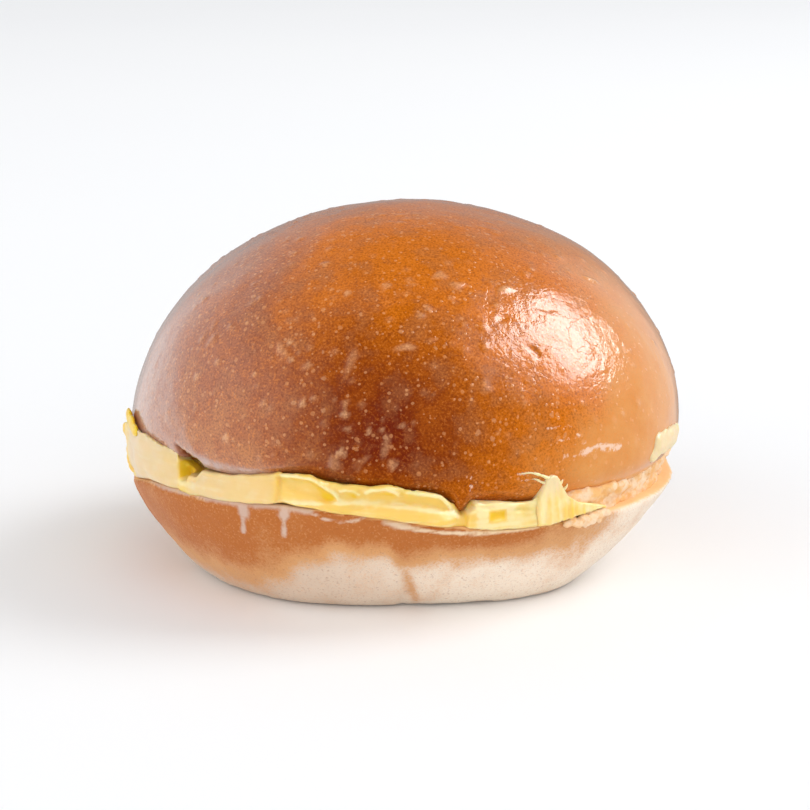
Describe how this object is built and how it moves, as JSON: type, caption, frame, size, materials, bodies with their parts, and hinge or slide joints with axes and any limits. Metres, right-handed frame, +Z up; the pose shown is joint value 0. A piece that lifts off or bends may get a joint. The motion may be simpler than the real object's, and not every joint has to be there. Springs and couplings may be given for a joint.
{
  "type": "buttered bun",
  "caption": "Round soft bun cut across and filled with thick knife-spread butter, with a tall glossy domed crown over a shallow pale heel.",
  "frame": {"origin": "middle of the bun's outline seen from above, on the surface it stands on", "axes": "+Z up through the dome; the well-buttered front faces -Y and the butter's bare place is on the +X side"},
  "size_m": [0.1056, 0.0992, 0.0675],
  "materials": {
    "crust": null,
    "butter": null,
    "heel_crust": null
  },
  "bodies": {
    "root": {"crown": "crust", "butter": "butter", "heel": "heel_crust"}
  },
  "joints": []
}
